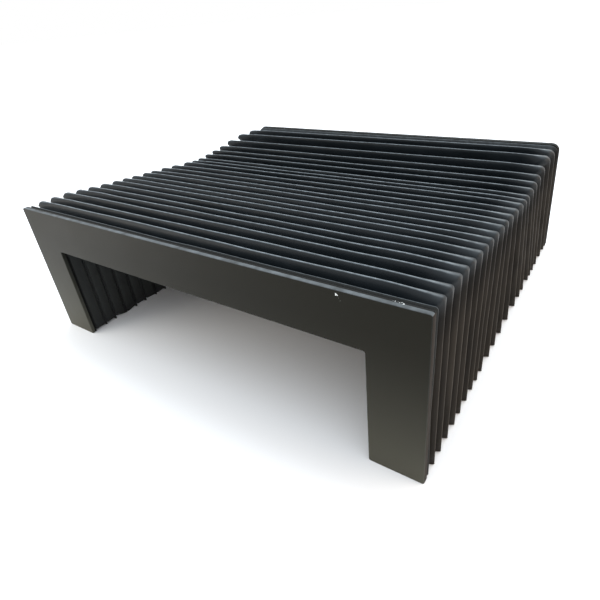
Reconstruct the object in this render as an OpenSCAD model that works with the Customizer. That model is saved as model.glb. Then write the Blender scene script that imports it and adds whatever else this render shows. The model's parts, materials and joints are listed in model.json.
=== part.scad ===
// U-shaped bellows way cover, standing on its feet over a guide rail that runs along Y.
// The front end plate has its front face at y = 0 and its feet at z = 0, centred on x = 0.
// The folded skin runs back from it to the rear end plate, which leans forwards.
// Each fold holds one top stiffener and two leg stiffeners, and its corners are cloth alone.
// The cover is as it stands when set down: it sags a little halfway, and its folds lean.

/* [End plates] */
// Width of an end plate, over both legs
plate_w = 200; // [140:1:320]
// Height of an end plate, from its feet to its top edge
plate_h = 66; // [52:1:110]
// Width of each leg
leg_w = 20; // [15:0.5:26]
// Height of the band that joins the legs
band_h = 19; // [15:0.5:26]
// Thickness of an end plate
plate_t = 2.5; // [1.5:0.1:5]
// Radius of the front plate's upper corners
front_corner_r = 0.8; // [0.5:0.1:8]
// Radius of the rear plate's upper corners
rear_corner_r = 4; // [0.5:0.1:8]

/* [Folds] */
// Length of the folded skin between its two flanges, along its top
skin_l = 172; // [150:1:300]
// Depth of the folds, from crest to valley
fold_depth = 19.5; // [14:0.5:25]
// Thickness of the coated cloth
cloth_t = 0.4; // [0.3:0.05:0.6]
// Width of a pressed crest
crest_w = 1.2; // [1.1:0.05:1.6]
// Width of a fold over its stiffener
fold_w = 2; // [1.8:0.1:2.6]
// Height of the cloth's peak above the stiffener
peak_h = 1.5; // [1:0.1:2.5]
// Gap inside the bottom of a valley
valley_gap = 0.6; // [0.4:0.1:1]
// How far the crests stand above the end plates
crest_rise = 1; // [0:0.1:3]
// Radius of the foremost crests at the two shoulders
shoulder_r = 1.5; // [1:0.5:6]
// Radius of the rearmost crests at the two shoulders
rear_shoulder_r = 4; // [1:0.5:8]
// How far a crest droops from its straight top to its shoulders
shoulder_drop = 0.7; // [0:0.1:1.5]
// Radius of a valley at the two inner corners
inner_r = 1; // [0.5:0.1:3]
// Gap between an end plate and the flange that is glued to it
glue_t = 0.3; // [0.2:0.1:0.6]

/* [Stiffeners] */
// Thickness of the stiffener sheet
strip_t = 0.6; // [0.4:0.05:0.7]
// Gap between a stiffener and the level of the inner corner
corner_gap = 1.5; // [1:0.1:4]
// Cut across the corners of a stiffener
strip_cut = 2; // [0.5:0.1:5]

/* [As set down] */
// How far the top sags where it is lowest
sag = 7.4; // [0:0.1:10]
// Largest forward lean of a fold, in degrees
lean_max = 24; // [0:1:26]
// Height of the cloth's cut edge above the floor
hem_gap = 0.4; // [0.3:0.1:1]

/* [Hidden] */
// Place of each flange and crest along the top, as a share of the length
crest_shares = [0, 0.035, 0.07, 0.109, 0.149, 0.187, 0.23, 0.27, 0.304, 0.342, 0.386, 0.42,
    0.462, 0.509, 0.562, 0.6, 0.629, 0.671, 0.706, 0.749, 0.796, 0.864, 0.933, 1];
last = len(crest_shares) - 1;
// Folds with a crest of their own, between the two flanges
folds = last - 1;
// Straight pieces in the quarter turn of a shoulder
turns = 3;
quarter = 90;

// Sag and lean as shares of the largest, by the crest's share of the length
sag_shares = [[0, 0], [0.11, 0], [0.19, 0.2], [0.3, 0.42], [0.46, 0.69], [0.6, 1], [0.64, 1],
    [0.75, 0.65], [0.8, 0.4], [0.87, 0.2], [1, 0.24]];
lean_shares = [[0, 0], [0.35, 0], [0.67, 1], [0.93, 0.78], [1, 0.58]];

// Colours
plate_colour = [0.2, 0.195, 0.185];
skin_colour = [0.06, 0.06, 0.07];
strip_colour = [0.13, 0.13, 0.14];

// Where fold i stands. Fold 0 is the front flange and the last one is the rear flange.
flange_y = plate_t + glue_t + cloth_t / 2;
function is_flange(i) = i <= 0 || i >= last;
function along(i) = (crest_shares[floor(i)] + crest_shares[ceil(i)]) / 2;
function lean(i) = lean_max * lookup(along(i), lean_shares);
function top_y(i) = flange_y + skin_l * along(i);
function crest_z(i) = plate_h + crest_rise - sag * lookup(along(i), sag_shares);
// Height of fold i measured in its own leaning plane
function fold_h(i) = is_flange(i) ? plate_h : crest_z(i) / cos(lean(i));
function foot_y(i) = top_y(i) + fold_h(i) * sin(lean(i));

// A point at x and height h in the plane of fold i, or halfway between two folds
function in_plane(i, x, h, dy) = let (a = floor(i), b = ceil(i), f = (foot_y(a) + foot_y(b)) / 2,
    t = (lean(a) + lean(b)) / 2)
    [x, f + dy - h * sin(t), h * cos(t)];
function plane_h(i) = (fold_h(floor(i)) + fold_h(ceil(i))) / 2;

// Right half of a U outline, from the foot up and over to the straight part of the band
function half_u(w, h, r, level, side, drop) = let (x = w - r, z = h - r - drop)
    concat([[w, hem_gap], [w, level]],
        [for (k = [0:turns]) [x + r * cos(quarter * k / turns), z + r * sin(quarter * k / turns)]],
        [[side, h]]);
function mirrored(p) = [for (k = [len(p) - 1:-1:0]) [-p[k][0], p[k][1]]];
function whole_u(p) = concat(p, mirrored(p));

// Radius of the shoulders of fold i
function round_r(i) = shoulder_r + (rear_shoulder_r - shoulder_r) * along(i);
// The outline of a crest or of a valley, set in by the given amount
function crest_u(i, inset) = whole_u(half_u(plate_w / 2 - inset, plane_h(i) - inset, round_r(i),
    plane_h(i) - fold_depth - inner_r, plate_w / 2 - fold_depth - inner_r,
    is_flange(i) ? 0 : shoulder_drop));
function valley_u(i, inset) = let (w = plate_w / 2 - fold_depth + cloth_t - inset,
    h = plane_h(i) - fold_depth + cloth_t - inset)
    whole_u(half_u(w, h, inner_r, h - inner_r * 2, w - inner_r * 2, 0));
function row(i, outline, dy) = [for (p = outline) in_plane(i, p[0], p[1], dy)];

// One side of the cloth, as rows of points from the front flange to the rear one.
// The weather side has inset 0, and the inner side is one thickness inside it.
half_crest = crest_w / 2;
half_fold = fold_w / 2;
half_valley = valley_gap / 2;
flange_dy = cloth_t / 2 + half_valley;
// The first and last valleys lie against their flanges, so that these stay flat on the plates
function valley(i) = i < 1 ? 0 : i > folds ? last : i;
function valley_dy(i) = i < 1 ? flange_dy : i > folds ? -flange_dy : 0;
function valley_row(i, inset, dy) = row(valley(i), valley_u(valley(i), inset), valley_dy(i) + dy);
function flange_row(i, dy) = row(i, crest_u(i, 0), dy);
function peak_rows(i, inset) = [
    row(i, crest_u(i, inset + peak_h), inset - half_fold),
    row(i, crest_u(i, inset), inset - half_crest),
    row(i, crest_u(i, inset), half_crest - inset),
    row(i, crest_u(i, inset + peak_h), half_fold - inset)];
function fold_rows(i, inset) = concat([
    valley_row(i - 0.5, inset, -half_valley - inset),
    valley_row(i - 0.5, inset, half_valley + inset)], is_flange(i) ? [] : peak_rows(i, inset));
function side_rows(inset) = concat([flange_row(0, cloth_t / 2 - inset)],
    [for (i = [1:last], r = fold_rows(i, inset)) r], [flange_row(last, inset - cloth_t / 2)]);

module front_plate() {
    color(plate_colour) end_plate(front_corner_r);
}

module rear_plate() {
    color(plate_colour) in_fold(last, 0) translate([0, cloth_t / 2 + glue_t, 0]) end_plate(rear_corner_r);
}

module end_plate(r) {
    x = plate_w / 2 - r;
    z = plate_h - r;
    inner_w = plate_w / 2 - leg_w;
    outer = concat([[plate_w / 2, 0]],
        [for (k = [0:turns]) [x + r * cos(quarter * k / turns), z + r * sin(quarter * k / turns)]]);
    inner = [[-inner_w, 0], [-inner_w, plate_h - band_h], [inner_w, plate_h - band_h], [inner_w, 0]];
    outline = concat(whole_u(outer), inner);
    translate([0, plate_t, 0]) rotate([quarter, 0, 0]) linear_extrude(plate_t) polygon(outline);
}

// Puts what is drawn upright at y = 0 into the plane of fold i, with its lowest edge on the floor
module in_fold(i, thickness) {
    translate([0, foot_y(i), thickness * sin(lean(i)) / 2]) rotate([lean(i), 0, 0]) children();
}

module strip(low_x, high_x, low_h, high_h) {
    outline = [[low_x, low_h], [high_x, low_h], [high_x, high_h - strip_cut], [high_x - strip_cut, high_h],
        [low_x + strip_cut, high_h], [low_x, high_h - strip_cut]];
    translate([0, strip_t / 2, 0]) rotate([quarter, 0, 0]) linear_extrude(strip_t) polygon(outline);
}

module top_stiffener(i) {
    half = plate_w / 2 - fold_depth - corner_gap;
    top = fold_h(i) - cloth_t - peak_h - half_fold * sin(lean(i));
    color(strip_colour) in_fold(i, strip_t) strip(-half, half, fold_h(i) - fold_depth + cloth_t, top);
}

module leg_stiffeners(i) {
    inner_x = plate_w / 2 - fold_depth + cloth_t;
    outer_x = plate_w / 2 - cloth_t - peak_h;
    level = plate_h - band_h - corner_gap;
    color(strip_colour) in_fold(i, strip_t) {
        strip(inner_x, outer_x, 0, level);
        strip(-outer_x, -inner_x, 0, level);
    }
}

module bellows_skin() {
    outer = side_rows(0);
    inner = side_rows(cloth_t);
    rows = len(outer);
    cols = len(outer[0]);
    side = rows * cols;
    function at(r, c) = r * cols + c;
    outer_faces = [for (r = [0:rows - 2], c = [0:cols - 2], f = [[at(r, c), at(r, c + 1), at(r + 1, c)],
        [at(r, c + 1), at(r + 1, c + 1), at(r + 1, c)]]) f];
    inner_faces = [for (f = outer_faces) [side + f[0], side + f[2], side + f[1]]];
    front_faces = [for (c = [0:cols - 2], f = strip_faces(at(0, c + 1), at(0, c), side)) f];
    rear_faces = [for (c = [0:cols - 2], f = strip_faces(at(rows - 1, c), at(rows - 1, c + 1), side)) f];
    right_faces = [for (r = [0:rows - 2], f = strip_faces(at(r, 0), at(r + 1, 0), side)) f];
    left_faces = [for (r = [0:rows - 2], f = strip_faces(at(r + 1, cols - 1), at(r, cols - 1), side)) f];
    color(skin_colour) polyhedron(points = [for (s = [outer, inner], r = s, p = r) p],
        faces = concat(outer_faces, inner_faces, front_faces, rear_faces, right_faces, left_faces));
}

// Two triangles that close the cloth's cut edge between points a and b of its two sides
function strip_faces(a, b, side) = [[a, b, side + a], [b, side + b, side + a]];

function number(i) = str(i < 10 ? "0" : "", i);
TOP_NODES = [for (i = [1:folds]) str("top_stiffener_", number(i))];
LEG_NODES = [for (i = [1:folds]) str("leg_stiffeners_", number(i))];

front_plate();
rear_plate();
bellows_skin();
for (i = [1:folds]) top_stiffener(i);
for (i = [1:folds]) leg_stiffeners(i);
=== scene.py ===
"""Looks of a U-shaped bellows way cover: black coated cloth in folds, between two flat end plates."""

import json
import math

import bmesh
import bpy
from mathutils import Matrix, Vector, noise


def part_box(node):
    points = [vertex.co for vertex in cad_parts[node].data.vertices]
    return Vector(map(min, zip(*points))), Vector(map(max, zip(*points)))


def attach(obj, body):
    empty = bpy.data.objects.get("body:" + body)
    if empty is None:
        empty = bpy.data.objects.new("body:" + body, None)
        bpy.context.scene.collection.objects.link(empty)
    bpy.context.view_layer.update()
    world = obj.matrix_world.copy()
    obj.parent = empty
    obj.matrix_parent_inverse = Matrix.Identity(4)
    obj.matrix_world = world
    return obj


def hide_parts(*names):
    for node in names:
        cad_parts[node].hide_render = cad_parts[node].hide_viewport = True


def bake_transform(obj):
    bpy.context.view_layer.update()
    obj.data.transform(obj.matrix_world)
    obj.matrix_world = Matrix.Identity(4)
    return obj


MM = 0.001
FOLDS = 22

# The cloth and how it lies on its stiffeners
CLOTH_T = 0.4 * MM
GLUE_T = 0.3 * MM
PEAK_H = 1.5 * MM
CREST_R = 0.28 * MM
HALF_FOLD = 0.8 * MM
VALLEY_R = 0.4 * MM
FOLD_DEPTH = 19.5 * MM
SHOULDER_R = 1 * MM
REAR_SHOULDER_R = 4 * MM
SHOULDER_DROP = 0.7 * MM
INNER_R = 1.2 * MM
HEM_GAP = 0.4 * MM
# How far the cloth strays where it is free: at a crest's peak, over a stiffener, in a shoulder
PEAK_WAVE = 0.5 * MM
PANEL_WAVE = 0.15 * MM
SHOULDER_WAVE = 0.6 * MM
# How far a fold stands open at its shoulders, where it has no stiffener, as a share of the way to its neighbour
FLARE = 0.9
# How far from the corner the flare reaches along the top and down a leg, and the share of a peak's height
# that is left there
FLARE_REACH = 11 * MM
FLARE_FALL = 6.5 * MM
FLARE_PEAK = 0.4
# How far the edge of a flange curls away from its end plate
CURL = 1.3 * MM

# Stations along half of a U, from the foot to the middle of the band
LEG_STATIONS = 9
SHOULDER_STATIONS = 6
SQUARE_STATIONS = 4
BAND_STATIONS = 12
# Turns of the cloth over a crest, as angles from its top, and rows down a panel, as shares of its depth
CREST_TURNS = (0, 35, 70)
# How strongly each turn of a crest shows wear and a painted highlight, most on its top
CREST_WEAR_AND_HIGHLIGHT = {0: 1.0, 35: 0.45, 70: 0.0}
# A crest's line of wear and painted highlight is weaker on a leg, which faces the light above less, than along
# the top
LEG_WEAR_AND_HIGHLIGHT = 0.09
# How far below the top of a fold its leg's painted shade and its painted warm light are full
LEG_FADE = 3 * MM
WARM_LIGHT_FADE = 20 * MM
# How much the flange's top edge shows wear and a painted highlight
FLANGE_WEAR_AND_HIGHLIGHT = 0.3
# How a crest's line of wear and painted highlight fades at the corner, and how strong, how far in and how wide
# the painted highlight beside it is
LINE_LOSS = 0.8
LINE_FADE = 2.5 * MM
CORNER_FADE = 8 * MM
SHOULDER_HIGHLIGHT = 0.13
SHOULDER_HIGHLIGHT_IN = 3 * MM
SHOULDER_HIGHLIGHT_REACH = 4 * MM
PANEL_SHARES = (0.25, 0.5, 0.75)
# Real threads lie 0.25 mm apart, drawn coarser so that they show
THREAD_PITCH = 0.6 * MM
VALLEY_TURNS = (90, 45, 0)
# Where a valley's floor starts, as a share of the way from one fold to the next
VALLEY_START = 0.12
# How near the cloth comes to the middle of a stiffener, and how far the cover closes from its rest
STRIP_CLEAR = 0.75 * MM
CLOSED_BY = 90 * MM
# How far the inner hem lies off the floor in waves
HEM_WAVE = 2.5 * MM

# End plates
PLATE_CORNER_R = 0.8 * MM
REAR_CORNER_R = 4 * MM
PLATE_EDGE_R = 0.3 * MM
LARGE_FACE = (5 * MM) ** 2
# Chips down to the primer: on the top edge, and one below it with a scratch that runs from it
CHIPS = (
    ((88.0, 2.1, 66), 0.1, "#8d9193"),
    ((88.7, 1.8, 66), 0.16, "#b9bdbb"),
    ((89.4, 2.1, 66), 0.1, "#a9adac"),
    ((90.0, 1.8, 66), 0.13, "#c6cac8"),
    ((90.7, 2.0, 66), 0.14, "#c6cac8"),
    ((91.3, 1.7, 66), 0.19, "#eef0ee"),
    ((71.5, 0, 64.5), 0.34, "#d6dad8"),
    ((72.2, 0, 63.5), 0.06, "#9a9c98"),
    ((72.6, 0, 62.9), 0.03, "#9a9c98"),
)
# How far noise pulls a chip's outline out of round
CHIP_RAG = 0.0012
# Height up to which the plates carry a painted reflection of the floor, lighter towards their feet
FLOOR_REFLECTION_TOP = 56 * MM
# The plate's edges are bare this far in from its outer face, and black behind, as glue and as painted shade of
# the gap to the flange
BARE_EDGE = 1.5 * MM
# How much the other edges are abraded and carry a painted highlight, where the top one, facing the light above,
# counts as 1
SIDE_WEAR_AND_HIGHLIGHT = 0.1
LEG_W = 20 * MM
BAND_H = 19 * MM

# The photograph's camera, in the part's frame
CAMERA_AT = (132.984 * MM, -93.894 * MM, 133.61 * MM)
CAMERA_TURN = math.radians(36.027)
CAMERA_DIP = math.radians(30.445)
CAMERA_ROLL = math.radians(-5.457)
PHOTO_SIDE = 600
FOCAL_PX = 465.9
CENTRE_PX = (315.9, 286.6)
SENSOR = 36
HALF_W = 100 * MM
SQUARE_W = HALF_W - FOLD_DEPTH - INNER_R
BESIDE_IN = 6 * MM
BESIDE_SPREAD = 16 * MM
BESIDE_Z = 56 * MM
BESIDE_REACH = 20 * MM
CURL_SIDE = 9 * MM
CURL_UPPER = 8 * MM
TOUCH_Z = 27 * MM
TOUCH_REACH = 22 * MM
LEFT_TOUCH = 0.25
REAR_CURL = 0.6
KINK = 0.5 * MM
KINK_Z = 44 * MM
KINK_SIDE = 8 * MM
KINK_REACH = 4 * MM
HEM_OUTER = 0.95
HEM_RISE = 0.1
HEM_BIAS = 0.2
LEG_START = 0.75
LEG_RISE = 20
# How much painted warm light the upright side edges of the plates carry
SIDE_LIGHT_LEVEL = 0.9
UPRIGHT = 0.8


def colour(code):
    """A linear colour from its sRGB hex code."""
    parts = [int(code[k : k + 2], 16) / 255 for k in (1, 3, 5)]
    return [c / 12.92 if c <= 0.04045 else ((c + 0.055) / 1.055) ** 2.4 for c in parts] + [1]


def add(tree, kind, settings=(), **links):
    """Adds a node with its settings, and sets or links each input that is named."""
    node = tree.nodes.new(kind)
    for name, value in dict(settings).items():
        setattr(node, name, value)
    for name, value in links.items():
        socket = node.inputs[int(name[1:])] if name[1:].isdigit() else node.inputs[name.replace("_", " ")]
        if isinstance(value, bpy.types.NodeSocket):
            tree.links.new(value, socket)
        else:
            socket.default_value = value
    return node


def material(name):
    made = bpy.data.materials.new(name)
    made.use_nodes = True
    made.node_tree.nodes.clear()
    return made, made.node_tree


def output(tree, shader):
    add(tree, "ShaderNodeOutputMaterial", Surface=shader.outputs[0])


def near(tree, place, spot, radius, soft):
    """1 within radius of a spot on the surface, falling to 0 over the soft width."""
    away = add(tree, "ShaderNodeVectorMath", {"operation": "DISTANCE"}, _0=place, _1=spot)
    return add(
        tree, "ShaderNodeMapRange", {"interpolation_type": "SMOOTHSTEP"}, Value=away.outputs["Value"],
        From_Min=radius + soft, From_Max=radius, To_Min=0.0, To_Max=1.0,
    ).outputs[0]  # fmt: skip


def mixed(tree, factor, low, high):
    return add(tree, "ShaderNodeMix", {"data_type": "RGBA"}, _0=factor, _6=low, _7=high).outputs[2]


def object_place(tree):
    return add(tree, "ShaderNodeTexCoord").outputs["Object"]


def coated_cloth():
    """Nylon cloth with a black polyurethane coat: a close satin, abraded to grey with a painted highlight where
    a crest is pressed. Its bluish tone is a painted cool sheen, and its legs carry painted shade and painted
    warm light.
    """
    made, tree = material("polyurethane_coated_nylon")
    place = object_place(tree)
    # The crest mask: wear and a painted highlight along each crest
    crest = add(tree, "ShaderNodeAttribute", {"attribute_name": "crest"}).outputs["Fac"]
    # The leg mask: painted shade on the legs, darker and more neutral than the painted cool sheen on top, with
    # browner and dimmer crest lines
    leg = add(tree, "ShaderNodeAttribute", {"attribute_name": "leg"}).outputs["Fac"]
    dust = add(tree, "ShaderNodeTexNoise", Vector=place, Scale=90.0, Detail=5.0, Roughness=0.6).outputs["Fac"]
    rub_and_highlight = add(tree, "ShaderNodeTexNoise", Vector=place, Scale=420.0, Detail=3.0).outputs["Fac"]
    painted_warm_leg_light = add(tree, "ShaderNodeAttribute", {"attribute_name": "painted_warm_leg_light"}).outputs["Fac"]
    # Painted warm side light on the panels of the legs, in brown streaks
    fall = add(tree, "ShaderNodeMapping", Vector=place, Scale=(300, 300, 30)).outputs[0]
    streak = add(tree, "ShaderNodeTexNoise", Vector=fall, Scale=1.0, Detail=3.0).outputs["Fac"]
    # The coat's bluish tone is a painted cool sheen from the light above, varied at random
    coat = mixed(tree, dust, colour("#10161a"), colour("#1d252b"))
    dull = mixed(tree, leg, coat, colour("#0a0b0c"))
    patch = mixed(tree, painted_warm_leg_light, dull, mixed(tree, streak, colour("#1a1714"), colour("#3a342d")))
    # The crests show wear and a painted highlight: bluish along the top, brown on the legs
    wear_and_highlight = add(tree, "ShaderNodeMath", {"operation": "MULTIPLY"}, _0=crest, _1=rub_and_highlight).outputs[0]
    base = mixed(tree, wear_and_highlight, patch, mixed(tree, leg, colour("#a3aeb5"), colour("#8b7c68")))
    gloss = add(tree, "ShaderNodeMapRange", Value=dust, To_Min=0.42, To_Max=0.58).outputs[0]
    thread = add(tree, "ShaderNodeUVMap", {"uv_map": "cut"}).outputs[0]
    weave = add(tree, "ShaderNodeTexChecker", Vector=thread, Scale=1 / THREAD_PITCH).outputs["Fac"]
    bump = add(tree, "ShaderNodeBump", Height=weave, Strength=0.12, Distance=0.05 * MM).outputs[0]
    # The legs reflect less, as part of their painted shade
    shine = add(tree, "ShaderNodeMapRange", Value=leg, To_Min=0.5, To_Max=0.15).outputs[0]
    shader = add(
        tree, "ShaderNodeBsdfPrincipled", Base_Color=base, Roughness=gloss, Normal=bump, IOR=1.35,
        Specular_IOR_Level=shine,
    )  # fmt: skip
    output(tree, shader)
    return made


def bare_cloth():
    """The uncoated back of the nylon, towards the guide rail: a dull black with its threads in view."""
    made, tree = material("plain_woven_nylon")
    lint = add(tree, "ShaderNodeTexNoise", Vector=object_place(tree), Scale=110.0, Detail=4.0).outputs["Fac"]
    base = mixed(tree, lint, colour("#1e2020"), colour("#2b2d2c"))
    thread = add(tree, "ShaderNodeUVMap", {"uv_map": "cut"}).outputs[0]
    weave = add(tree, "ShaderNodeTexChecker", Vector=thread, Scale=1 / THREAD_PITCH).outputs["Fac"]
    bump = add(tree, "ShaderNodeBump", Height=weave, Strength=0.3, Distance=0.08 * MM).outputs[0]
    gloss = add(tree, "ShaderNodeMapRange", Value=lint, To_Min=0.75, To_Max=0.9).outputs[0]
    output(tree, add(tree, "ShaderNodeBsdfPrincipled", Base_Color=base, Roughness=gloss, Normal=bump, IOR=1.4))
    return made


def satin_paint():
    """Steel sheet with a dark warm grey satin powder coat: a fine orange peel that blurs what it reflects. It
    carries a painted reflection of the floor at its feet, abrasion with a painted highlight on its edges, black
    adhesive with painted shade behind them, and painted warm light on its upright sides.
    """
    made, tree = material("powder_coated_steel")
    place = object_place(tree)
    edge = add(tree, "ShaderNodeAttribute", {"attribute_name": "edge"}).outputs["Fac"]
    cloud = add(tree, "ShaderNodeTexNoise", Vector=place, Scale=35.0, Detail=4.0).outputs["Fac"]
    grain = add(tree, "ShaderNodeTexNoise", Vector=place, Scale=1500.0, Detail=2.0).outputs["Fac"]
    base = mixed(tree, cloud, colour("#100f09"), colour("#17150e"))
    # Painted reflection of the floor: lighter at the feet, thinning out upwards
    height = add(tree, "ShaderNodeSeparateXYZ", Vector=place).outputs["Z"]
    low = add(tree, "ShaderNodeMapRange", Value=height, From_Min=FLOOR_REFLECTION_TOP, From_Max=0.0).outputs[0]
    floor_reflection = add(tree, "ShaderNodeMath", {"operation": "POWER"}, _0=low, _1=1.6).outputs[0]
    base = mixed(tree, floor_reflection, base, colour("#4a4940"))
    # The edges show wear and a painted highlight, the top edge most
    scuff = add(tree, "ShaderNodeTexNoise", Vector=place, Scale=260.0, Detail=4.0).outputs["Fac"]
    rubbed_and_highlighted = add(tree, "ShaderNodeMath", {"operation": "MULTIPLY"}, _0=edge, _1=scuff).outputs[0]
    base = mixed(tree, rubbed_and_highlighted, base, colour("#767d82"))
    # Black behind the bare edge: glue, and painted shade of the gap to the flange
    glue_and_gap_shade = add(tree, "ShaderNodeAttribute", {"attribute_name": "glue_and_gap_shade"}).outputs["Fac"]
    base = mixed(tree, glue_and_gap_shade, base, colour("#08090a"))
    shaken = add(tree, "ShaderNodeTexNoise", Vector=place, Scale=1800.0, Detail=2.0).outputs["Color"]
    ragged = add(tree, "ShaderNodeMix", {"data_type": "VECTOR"}, _0=CHIP_RAG, _4=place, _5=shaken).outputs[1]
    for spot, radius, tint in CHIPS:
        # The noise is 0.5 on average, which the spot is moved by as well
        moved = [c * MM * (1 - CHIP_RAG) + 0.5 * CHIP_RAG for c in spot]
        chip = near(tree, ragged, moved, radius * MM, 0.1 * MM)
        base = mixed(tree, chip, base, colour(tint))
    # Painted warm light on the upright side edges, which also reflect less
    painted_side_light = add(tree, "ShaderNodeAttribute", {"attribute_name": "painted_side_light"}).outputs["Fac"]
    base = mixed(tree, painted_side_light, base, colour("#2b2520"))
    shine = add(tree, "ShaderNodeMapRange", Value=painted_side_light, To_Min=0.5, To_Max=0.03).outputs[0]
    gloss = add(tree, "ShaderNodeMapRange", Value=cloud, To_Min=0.42, To_Max=0.55).outputs[0]
    bump = add(tree, "ShaderNodeBump", Height=grain, Strength=0.15, Distance=0.05 * MM).outputs[0]
    # The coat's matting agents weaken its reflections
    coat = add(
        tree, "ShaderNodeBsdfPrincipled", Base_Color=base, Roughness=gloss, Normal=bump, IOR=1.22,
        Specular_IOR_Level=shine, Specular_Tint=(1, 0.98, 0.88, 1),
    )  # fmt: skip
    output(tree, coat)
    return made


def stiffener_sheet():
    """Rigid PVC sheet, calendered and die-cut: a dull black with a faint mottle."""
    made, tree = material("rigid_pvc_sheet")
    cloud = add(tree, "ShaderNodeTexNoise", Vector=object_place(tree), Scale=160.0, Detail=3.0).outputs["Fac"]
    base = mixed(tree, cloud, colour("#121314"), colour("#1f2021"))
    gloss = add(tree, "ShaderNodeMapRange", Value=cloud, To_Min=0.5, To_Max=0.65).outputs[0]
    bump = add(tree, "ShaderNodeBump", Height=cloud, Strength=0.1, Distance=0.1 * MM).outputs[0]
    output(tree, add(tree, "ShaderNodeBsdfPrincipled", Base_Color=base, Roughness=gloss, Normal=bump, IOR=1.5))
    return made


def give(obj, made):
    obj.data.materials.clear()
    obj.data.materials.append(made)


def only(obj):
    bpy.ops.object.select_all(action="DESELECT")
    obj.select_set(True)
    bpy.context.view_layer.objects.active = obj


class Plane:
    """The leaning plane of a fold or flange: where its foot line is, its lean, its height and its shoulders."""

    def __init__(self, foot_y, lean, height, radius=SHOULDER_R, drop=0.0):
        self.foot_y, self.lean, self.height, self.radius, self.drop = foot_y, lean, height, radius, drop

    def point(self, x, height, away=0.0):
        up = Vector((0, -math.sin(self.lean), math.cos(self.lean)))
        return Vector((x, self.foot_y + away, 0)) + up * height

    def towards(self, other, share):
        """The plane at a share of the way to another one."""
        pairs = ((getattr(self, k), getattr(other, k)) for k in ("foot_y", "lean", "height", "radius", "drop"))
        return Plane(*(a + (b - a) * share for a, b in pairs))


def node_points(name):
    return [v.co.copy() for v in frame["nodes"][name].data.vertices]


def fold_plane(i):
    """Reads a fold's plane from its stiffeners."""
    # A strip's section has two corners at its foot and two at its head, and its mid-plane runs between them
    section = sorted({(round(p.z, 6), round(p.y, 6)) for p in node_points(f"leg_stiffeners_{i:02d}")})
    foot, head = (Vector((0, (a[1] + b[1]) / 2, (a[0] + b[0]) / 2)) for a, b in (section[:2], section[-2:]))
    lean = math.atan2(foot.y - head.y, head.z - foot.z)
    up = Vector((0, -math.sin(lean), math.cos(lean)))
    foot_y = foot.y + foot.z * math.tan(lean)
    top = max((p - Vector((0, foot_y, 0))).dot(up) for p in node_points(f"top_stiffener_{i:02d}"))
    return Plane(foot_y, lean, top + PEAK_H + CLOTH_T + 1 * MM * math.sin(lean), drop=SHOULDER_DROP)


def planes():
    """The planes of the front flange, of each fold and of the rear flange."""
    low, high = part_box("front_plate")
    front = Plane(high[1] + GLUE_T + CLOTH_T / 2, 0.0, high[2])
    folds = [fold_plane(i) for i in range(1, FOLDS + 1)]
    inner = min(node_points("rear_plate"), key=lambda p: p.z)
    crown = min(node_points("rear_plate"), key=lambda p: p.y)
    lean = math.atan2(inner.y - crown.y, crown.z - inner.z)
    gap = GLUE_T + CLOTH_T / 2
    foot_y = inner.y + inner.z * math.tan(lean) - gap / math.cos(lean)
    height = (crown - inner).length
    found = [front, *folds, Plane(foot_y, lean, height)]
    tops = [p.point(0, p.height).y for p in found]
    for plane, top in zip(found, tops):
        plane.radius += (REAR_SHOULDER_R - SHOULDER_R) * ((top - tops[0]) / (tops[-1] - tops[0])) ** 3
    return found


def half_stations(half, height, radius, level, side, drop=0.0):
    """Half of a U outline from the foot up a leg, round the shoulder and in to the middle of the band."""
    points = [(half, HEM_GAP + (level - HEM_GAP) * k / LEG_STATIONS) for k in range(LEG_STATIONS)]
    straight = height - drop - radius - level
    points += [(half, level + straight * k / SQUARE_STATIONS) for k in range(SQUARE_STATIONS)]
    for k in range(SHOULDER_STATIONS + 1):
        turn = math.pi / 2 * k / SHOULDER_STATIONS
        points.append(
            (half - radius + radius * math.cos(turn), height - drop - radius + radius * math.sin(turn))
        )
    across = half - radius - side
    for k in range(1, SQUARE_STATIONS + 1):
        share = k / SQUARE_STATIONS
        points.append((half - radius - across * share, height - drop * (1 - share) ** 2))
    points += [(side - side * k / BAND_STATIONS, height) for k in range(1, BAND_STATIONS + 1)]
    return points


def whole(points):
    """A whole U from its right half, whose last point is on the middle line."""
    return points + [(-x, z) for x, z in reversed(points[:-1])]


def outlines(plane):
    """The outlines of the cloth at a crest and at a valley in a plane."""
    half, height = HALF_W - CLOTH_T / 2, plane.height - CLOTH_T / 2
    level = height - FOLD_DEPTH - INNER_R
    crest = whole(half_stations(half, height, plane.radius, level, SQUARE_W, plane.drop))
    inner_half, inner_height = half - FOLD_DEPTH + CLOTH_T, height - FOLD_DEPTH + CLOTH_T
    valley = whole(
        half_stations(inner_half, inner_height, INNER_R, inner_height - 2 * INNER_R, inner_half - 2 * INNER_R)
    )
    return crest, valley


def row(plane, depth, away):
    """A row of cloth points at a depth below the crest, moved along Y by away."""
    crest, valley = outlines(plane)
    share = depth / (FOLD_DEPTH - CLOTH_T)
    return [
        plane.point(a[0] + (b[0] - a[0]) * share, a[1] + (b[1] - a[1]) * share, away)
        for a, b in zip(crest, valley)
    ]


def blended(a, b, share):
    return [p.lerp(q, share) for p, q in zip(a, b)]


def bump_at(value, centre, width):
    """1 at the centre, falling smoothly to 0 at a width from it."""
    t = min(1.0, abs(value - centre) / width)
    return (1 - t * t) ** 2


def shoulder_share(p):
    """1 in the middle of a shoulder, where the cloth has no stiffener, and 0 away from it."""
    return bump_at(abs(p.x), HALF_W - BESIDE_IN, BESIDE_SPREAD) * bump_at(p.z, BESIDE_Z, BESIDE_REACH)


def corner_share(p, crown):
    """1 at the upper corner of a fold whose top is at the crown, and 0 away from it."""
    return bump_at(abs(p.x), HALF_W, FLARE_REACH) * bump_at(p.z, crown, FLARE_FALL)


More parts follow.
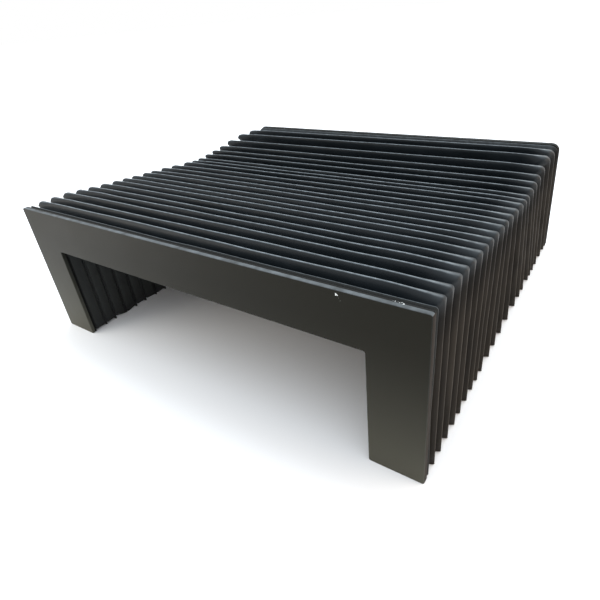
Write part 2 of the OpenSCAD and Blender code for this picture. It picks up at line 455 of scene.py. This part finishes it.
def crest_rows(plane, before, after):
    """The rows over a crest, from the foot of its peak in front to the one behind, with their wear and painted
    highlight.
    Before and after are the gaps to the neighbours, which the cloth spreads into at the shoulders."""
    profile = [(PEAK_H, -HALF_FOLD, 0.0)]
    for turn in (*(-t for t in reversed(CREST_TURNS[1:])), *CREST_TURNS):
        a = math.radians(turn)
        profile.append((CREST_R * (1 - math.cos(a)), CREST_R * math.sin(a), CREST_WEAR_AND_HIGHLIGHT[abs(turn)]))
    profile.append((PEAK_H, HALF_FOLD, 0.0))
    crown = plane.point(0, plane.height).z
    rows = []
    for depth, away, wear_and_highlight in profile:
        gap = before if away < 0 else after
        open_by = (gap / 2 - HALF_FOLD) * away / HALF_FOLD
        points, spread = [], []
        for deep, shallow in zip(row(plane, depth, away), row(plane, depth * FLARE_PEAK, away)):
            near_corner = corner_share(deep, crown)
            spread.append(FLARE * near_corner * open_by)
            points.append(deep.lerp(shallow, near_corner) + Vector((0, spread[-1], 0)))
        rows.append((points, wear_and_highlight, 1 - depth / PEAK_H, [moved / gap for moved in spread]))
    return rows


def floor_edge(narrow, closing):
    """Where a valley's floor starts, as a share of the way from a fold, and how much of the gap's closing it
    follows, so that it keeps off the fold's stiffener when the cover is shut."""
    start = max(VALLEY_START, STRIP_CLEAR / narrow)
    return start, min(start, (start * narrow - STRIP_CLEAR) / closing)


def valley_rows(before, after, closing, first, last):
    """The rows along the broad floor of a valley, each with the share of the gap's closing that it follows.
    First and last tell whether the plane before or after is a flange, which the floor runs up to."""
    gap = after.point(0, after.height).y - before.point(0, before.height).y
    edge, follow = floor_edge(min(gap, after.foot_y - before.foot_y), closing)
    sides = (
        (VALLEY_TURNS, 0.0 if first else edge, 1, 0.0 if first else follow),
        (VALLEY_TURNS[::-1], 1.0 if last else 1 - edge, -1, 1.0 if last else 1 - follow),
    )
    rows = []
    for turns, corner, way, moved in sides:
        for turn in turns:
            a = math.radians(turn)
            share = corner + way * VALLEY_R * (1 - math.sin(a)) / gap
            depth = FOLD_DEPTH - CLOTH_T - VALLEY_R * (1 - math.cos(a))
            rows.append((row(before.towards(after, share), depth, 0.0), moved))
    return rows


def cloth_rows():
    """All rows of the cloth from the front flange to the rear one, each as its points, wear with painted
    highlight, freedom, place and drift. A place counts the folds from the front, and a drift is how far each
    point is from its row's."""
    found = planes()
    last = len(found) - 1
    tops = [p.point(0, p.height).y for p in found]
    gaps = [b - a for a, b in zip(tops, tops[1:])]
    still = [0.0] * len(outlines(found[0])[0])
    glued = [share * (FOLD_DEPTH - CLOTH_T - VALLEY_R) for share in (0, *PANEL_SHARES)]
    rows = [(row(found[0], depth, 0.0), 0.0 if depth else FLANGE_WEAR_AND_HIGHLIGHT, 0.0, 0, still) for depth in glued]
    follows = {c["joint"]: c["ratio"] for c in frame["record"]["behaviour"]["couplings"]}
    carried = [1.0, *(follows[f"fold_{i:02d}_slide"] for i in range(1, last)), 0.0]
    crest = None
    for i in range(1, last + 1):
        closing = CLOSED_BY * (carried[i - 1] - carried[i])
        valley = valley_rows(found[i - 1], found[i], closing, i == 1, i == last)
        (first, begin), (final, end) = valley[0], valley[-1]
        if crest:
            for s in PANEL_SHARES:
                drift = [d * (1 - s) for d in crest[-1][3]]
                rows.append((blended(crest[-1][0], first, s), 0.0, 0.0, i - 1 + begin * s, drift))
        rows += [(points, 0.0, 0.0, i - 1 + share, still) for points, share in valley]
        if i < last:
            crest = crest_rows(found[i], gaps[i - 1], gaps[i])
            for s in PANEL_SHARES:
                drift = [d * s for d in crest[0][3]]
                rows.append((blended(final, crest[0][0], s), 0.0, 0.0, i - (1 - end) * (1 - s), drift))
            rows += [(points, wear_and_highlight, free, i, drift) for points, wear_and_highlight, free, drift in crest]
    rows += [
        (row(found[last], depth, 0.0), 0.0 if depth else FLANGE_WEAR_AND_HIGHLIGHT, 0.0, last, still)
        for depth in reversed(glued)
    ]
    return rows, carried


def stray(p, place, last, free):
    """How far a point of the cloth lies off its pressed place, along Y."""
    if place in (0, last):
        # The flange's edge curls off its plate. On the right leg it touches the plate two fifths of the way up.
        edge = max(bump_at(abs(p.x), HALF_W, CURL_SIDE), bump_at(p.z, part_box("front_plate")[1][2], CURL_UPPER))
        touch = bump_at(p.z, TOUCH_Z, TOUCH_REACH) if p.x > 0 else LEFT_TOUCH
        amount = CURL * edge * (1 - touch) * (0.8 + 0.4 * noise.noise(Vector((p.x * 30, place, p.z * 40))))
        return amount if place == 0 else -amount * REAR_CURL
    wave = noise.noise(Vector((p.x * 24, place * 3.7, p.z * 31)))
    fine = noise.noise(Vector((p.x * 70, place * 5.1 + 9, p.z * 60)))
    kink = bump_at(abs(p.x), HALF_W, KINK_SIDE) * bump_at(p.z, KINK_Z, KINK_REACH)
    turn = noise.noise(Vector((place * 0.9, p.x * 8, 4.0)))
    lean = PANEL_WAVE * wave + free * PEAK_WAVE * (wave * 0.7 + fine * 0.5)
    return lean + SHOULDER_WAVE * turn * shoulder_share(p) + KINK * free * kink * (0.6 + turn)


def hem(points, place):
    """A row's points with its ends raised along the cloth, where its inner hem doesn't reach the floor."""
    points = [p.copy() for p in points]
    for foot, above in ((0, 1), (-1, -2)):
        low, up = points[foot], points[above] - points[foot]
        inner = min(1.0, max(0.0, (HEM_OUTER * HALF_W - abs(low.x)) / (HEM_RISE * HALF_W)))
        uneven = noise.noise(Vector((math.copysign(3, low.x), place * 1.1, 7.0)))
        lift = HEM_WAVE * inner * max(0.0, HEM_BIAS + uneven)
        points[foot] = low + up * (lift / up.z)
    return points


def rubbed_and_highlighted(p, crown, wear_and_highlight, free):
    """How much a point is abraded and carries a painted highlight. A crest's line fades at the corner, beside a
    painted highlight on the shoulder.
    """
    corner = bump_at(abs(p.x), HALF_W, LINE_FADE) * bump_at(p.z, crown, CORNER_FADE)
    beside = bump_at(abs(p.x), HALF_W - SHOULDER_HIGHLIGHT_IN, SHOULDER_HIGHLIGHT_REACH) * bump_at(p.z, crown, SHOULDER_HIGHLIGHT_REACH)
    return max(wear_and_highlight * (1 - LINE_LOSS * corner), SHOULDER_HIGHLIGHT * free * beside)


def folded_cloth(coat, back):
    """The cloth: one sheet through every fold, with its wear and painted highlight, the painted shade and
    painted warm light of its legs, its threads and its share of the travel.
    """
    rows, carried = cloth_rows()
    last = len(carried) - 1
    columns = len(rows[0][0])
    mesh = bpy.data.meshes.new("folded_cloth")
    net = bmesh.new()
    # Layers for the crests' wear with a painted highlight, the share of the travel, the legs' painted shade and
    # the legs' painted warm light
    wear = net.verts.layers.float.new("crest")
    share = net.verts.layers.float.new("share")
    leg = net.verts.layers.float.new("leg")
    painted_warm_leg_light = net.verts.layers.float.new("painted_warm_leg_light")
    cut = net.loops.layers.uv.new("cut")
    grid, length = [], 0.0
    for r, (points, wear_and_highlight, free, place, drifts) in enumerate(rows):
        if r:
            length += (points[columns // 2] - rows[r - 1][0][columns // 2]).length
        line = []
        crown = points[columns // 2].z
        for p, drift in zip(hem(points, place), drifts):
            vert = net.verts.new((p.x, p.y + stray(p, place, last, free), p.z))
            # The legs carry painted shade and painted warm light, full a little below the top of the fold
            beside = min(1.0, max(0.0, abs(p.x) / HALF_W - LEG_START) * LEG_RISE)
            vert[leg] = beside * min(1.0, max(0.0, crown - p.z) / LEG_FADE)
            vert[painted_warm_leg_light] = beside * min(1.0, max(0.0, crown - p.z) / WARM_LIGHT_FADE)
            vert[wear] = rubbed_and_highlighted(p, crown, wear_and_highlight * (1 - (1 - LEG_WEAR_AND_HIGHLIGHT) * vert[leg]), free)
            low = min(int(place + drift), last - 1)
            vert[share] = carried[low] + (carried[low + 1] - carried[low]) * (place + drift - low)
            line.append(vert)
        grid.append((line, length))
    walked = [0.0]
    for a, b in zip(rows[0][0], rows[0][0][1:]):
        walked.append(walked[-1] + (b - a).length)
    for (line, at), (after, then) in zip(grid, grid[1:]):
        for c in range(columns - 1):
            face = net.faces.new((line[c], after[c], after[c + 1], line[c + 1]))
            for loop, place in zip(face.loops, ((c, at), (c, then), (c + 1, then), (c + 1, at))):
                loop[cut].uv = (walked[place[0]], place[1])
    bmesh.ops.recalc_face_normals(net, faces=net.faces)
    net.faces.ensure_lookup_table()
    # The flange's coated side faces the folds
    if net.faces[0].normal.y < 0:
        bmesh.ops.reverse_faces(net, faces=net.faces)
    net.to_mesh(mesh)
    net.free()
    cloth = bpy.data.objects.new("folded_cloth", mesh)
    bpy.context.collection.objects.link(cloth)
    give(cloth, coat)
    cloth.data.materials.append(back)
    only(cloth)
    solid = cloth.modifiers.new("thickness", "SOLIDIFY")
    solid.thickness = CLOTH_T
    solid.offset = 0
    solid.material_offset = 1
    bpy.ops.object.modifier_apply(modifier=solid.name)
    bpy.ops.object.shade_smooth()
    return cloth, walked[-1], length


def block(name, low, high):
    """A block between two corners."""
    bpy.ops.object.select_all(action="DESELECT")
    middle = [(a + b) / 2 for a, b in zip(low, high)]
    bpy.ops.mesh.primitive_cube_add(size=1, location=middle)
    made = bpy.context.object
    made.name = name
    made.scale = [b - a for a, b in zip(low, high)]
    bpy.ops.object.transform_apply(location=True, rotation=True, scale=True)
    return made


def end_plate(name, made, plane, behind, top_r, rub_and_highlight):
    """A U plate with rounded corners and broken edges, glued before or behind a flange's plane."""
    low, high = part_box("front_plate")
    width, height, thick = high[0] - low[0], high[2] - low[2], high[1] - low[1]
    plate = block(name, (-width / 2, 0, 0), (width / 2, thick, height))
    inner = width / 2 - LEG_W
    opening = block("opening", (-inner, -thick, -thick), (inner, 2 * thick, height - BAND_H))
    only(plate)
    cut = plate.modifiers.new("opening", "BOOLEAN")
    cut.operation, cut.object = "DIFFERENCE", opening
    bpy.ops.object.modifier_apply(modifier=cut.name)
    bpy.data.objects.remove(opening)
    bpy.ops.object.mode_set(mode="EDIT")
    for upper, radius in ((True, top_r), (False, PLATE_CORNER_R)):
        bpy.ops.mesh.select_all(action="DESELECT")
        net = bmesh.from_edit_mesh(plate.data)
        for line in net.edges:
            a, b = (v.co for v in line.verts)
            corner = abs(a.y - b.y) > thick / 2 and line.calc_face_angle(0) > 1
            line.select_set(corner and (a.z > height - CLOTH_T) == upper)
        bmesh.update_edit_mesh(plate.data)
        bpy.ops.mesh.bevel(offset=radius, segments=6, affect="EDGES")
    bpy.ops.object.mode_set(mode="OBJECT")
    only(plate)
    edge = plate.modifiers.new("edge", "BEVEL")
    edge.width, edge.segments, edge.limit_method = PLATE_EDGE_R, 3, "ANGLE"
    edge.angle_limit = math.radians(60)
    bpy.ops.object.modifier_apply(modifier=edge.name)
    # Cut into plain pieces, so that no face bends round a corner
    bpy.ops.object.mode_set(mode="EDIT")
    aside = PLATE_CORNER_R * 2
    for place, normal in (
        ((inner - aside, 0, 0), (1, 0, 0)),
        ((aside - inner, 0, 0), (1, 0, 0)),
        ((0, 0, height - BAND_H + aside), (0, 0, 1)),
        ((0, 0, height - BAND_H - aside), (0, 0, 1)),
        ((0, thick - BARE_EDGE if behind else BARE_EDGE, 0), (0, 1, 0)),
    ):
        bpy.ops.mesh.select_all(action="SELECT")
        bpy.ops.mesh.bisect(plane_co=place, plane_no=normal)
    bpy.ops.object.mode_set(mode="OBJECT")
    # Masks: wear with a painted highlight on the edge faces, the top ones most; glue with painted gap shade
    # behind the bare edge; painted warm light on the upright side edges
    wear_and_highlight = plate.data.attributes.new("edge", "FLOAT", "FACE")
    glued = plate.data.attributes.new("glue_and_gap_shade", "FLOAT", "FACE")
    side_lit_faces = plate.data.attributes.new("painted_side_light", "FLOAT", "FACE")
    for face in plate.data.polygons:
        inward = face.center.y if not behind else thick - face.center.y
        if abs(face.normal.y) < 0.999:
            wear_and_highlight.data[face.index].value = rub_and_highlight * (1.0 if face.normal.z > 0.3 else SIDE_WEAR_AND_HIGHLIGHT)
            glued.data[face.index].value = float(inward > BARE_EDGE)
            on_side = abs(face.normal.x) > UPRIGHT and abs(face.center.x) > inner + LEG_W / 2
            side_lit_faces.data[face.index].value = SIDE_LIGHT_LEVEL * float(on_side)
    gap = GLUE_T + CLOTH_T / 2
    plate.rotation_euler = (plane.lean, 0, 0)
    plate.location = plane.point(0, 0) + Vector((0, math.cos(plane.lean), math.sin(plane.lean))) * (
        gap if behind else -gap - thick
    )
    bpy.ops.object.transform_apply(location=True, rotation=True, scale=True)
    give(plate, made)
    bpy.ops.object.shade_smooth_by_angle(angle=math.radians(35))
    # The large faces stay flat, so that the broken edges don't tint them
    for face in plate.data.polygons:
        if face.area > LARGE_FACE:
            face.use_smooth = False
    return plate


def white_floor():
    """A white floor, as bright as the surroundings, that keeps the object's soft shadow."""
    bpy.ops.object.select_all(action="DESELECT")
    bpy.ops.mesh.primitive_plane_add(size=40)
    floor = bpy.context.object
    floor.name = "floor"
    made, tree = material("matt_white_paper")
    output(tree, add(tree, "ShaderNodeBsdfDiffuse", Color=(1, 1, 1, 1)))
    give(floor, made)


def studio():
    """A white room, cool from above and dimmer and warmer from the sides."""
    scene = bpy.context.scene
    scene.view_settings.view_transform = "Standard"
    world = bpy.data.worlds.new("studio")
    scene.world = world
    world.use_nodes = True
    tree = world.node_tree
    tree.nodes.clear()
    way = add(tree, "ShaderNodeSeparateXYZ", Vector=add(tree, "ShaderNodeTexCoord").outputs["Generated"])
    height = add(tree, "ShaderNodeMath", {"operation": "POWER"}, _0=way.outputs["Z"], _1=1.5).outputs[0]
    room = mixed(tree, height, (0.5, 0.42, 0.36, 1), (1.7, 1.85, 2.0, 1))
    rays = add(tree, "ShaderNodeLightPath")
    seen = rays.outputs["Is Camera Ray"]
    for kind in ("Is Glossy Ray", "Is Transmission Ray"):
        seen = add(tree, "ShaderNodeMath", {"operation": "MAXIMUM"}, _0=seen, _1=rays.outputs[kind]).outputs[0]
    shown = mixed(tree, seen, room, (1, 1, 1, 1))
    sky = add(tree, "ShaderNodeBackground", Color=shown, Strength=1.0)
    add(tree, "ShaderNodeOutputWorld", Surface=sky.outputs[0])
    lamp("softbox", (0.0, 0.45, 0.8), (0, 0.1, 0.03), 0.7, 5, (0.8, 0.92, 1.0))
    lamp("window", (-0.23, -0.16, 0.08), (-0.1, 0, 0.03), 0.16, 0.27, (1.0, 0.93, 0.81))
    lamp("side", (0.8, 0.25, 0.3), (0.1, 0.1, 0.03), 0.5, 3.4, (1.0, 0.8, 0.62))


def lamp(name, at, towards, size, power, tint):
    data = bpy.data.lights.new(name, "AREA")
    data.size, data.energy, data.color = size, power, tint
    made = bpy.data.objects.new(name, data)
    made.location = at
    made.rotation_euler = (Vector(towards) - Vector(at)).to_track_quat("-Z", "Y").to_euler()
    bpy.context.collection.objects.link(made)


def camera():
    data = bpy.data.cameras.new("camera")
    data.sensor_width = SENSOR
    data.lens = FOCAL_PX * SENSOR / PHOTO_SIDE
    data.shift_x = (PHOTO_SIDE / 2 - CENTRE_PX[0]) / PHOTO_SIDE
    data.shift_y = (CENTRE_PX[1] - PHOTO_SIDE / 2) / PHOTO_SIDE
    data.clip_start = 0.005
    dip_cos = math.cos(CAMERA_DIP)
    ahead = Vector((-math.sin(CAMERA_TURN) * dip_cos, math.cos(CAMERA_TURN) * dip_cos, -math.sin(CAMERA_DIP)))
    side = ahead.cross(Vector((0, 0, 1))).normalized()
    up = side.cross(ahead)
    right = side * math.cos(CAMERA_ROLL) + up * math.sin(CAMERA_ROLL)
    top = up * math.cos(CAMERA_ROLL) - side * math.sin(CAMERA_ROLL)
    made = bpy.data.objects.new("camera", data)
    axes = Matrix((right, top, -ahead)).transposed().to_4x4()
    made.matrix_world = Matrix.Translation(CAMERA_AT) @ axes
    bpy.context.collection.objects.link(made)
    bpy.context.scene.camera = made


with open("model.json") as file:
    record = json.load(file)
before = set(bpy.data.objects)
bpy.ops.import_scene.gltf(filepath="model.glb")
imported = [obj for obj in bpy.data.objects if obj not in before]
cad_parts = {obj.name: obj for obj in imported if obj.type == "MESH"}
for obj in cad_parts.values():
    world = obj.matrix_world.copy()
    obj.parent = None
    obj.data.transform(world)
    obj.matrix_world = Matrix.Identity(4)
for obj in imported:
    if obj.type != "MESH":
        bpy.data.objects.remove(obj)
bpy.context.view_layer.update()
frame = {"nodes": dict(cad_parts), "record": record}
camera()
studio()
white_floor()

cloth, cut_width, cut_length = folded_cloth(coated_cloth(), bare_cloth())
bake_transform(cloth)
# Each crest moves with its own fold, so a point of the cloth takes its fold's share of the travel
shares = [0.0] * len(cloth.data.vertices)
cloth.data.attributes["share"].data.foreach_get("value", shares)
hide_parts("bellows_skin")

paint = satin_paint()
ends = planes()
# The front plate's top edge shows full wear and painted highlight; the rear one, leaning away from the light,
# little
for name, plane, body, top_r, rub_and_highlight in (
    ("front_plate", ends[0], "front_end", PLATE_CORNER_R, 1.0),
    ("rear_plate", ends[-1], "root", REAR_CORNER_R, 0.2),
):
    plate = end_plate("edged_" + name, paint, plane, name == "rear_plate", top_r, rub_and_highlight)
    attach(plate, body)
    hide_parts(name)

sheet = stiffener_sheet()
for name, obj in frame["nodes"].items():
    if "stiffener" in name:
        give(obj, sheet)
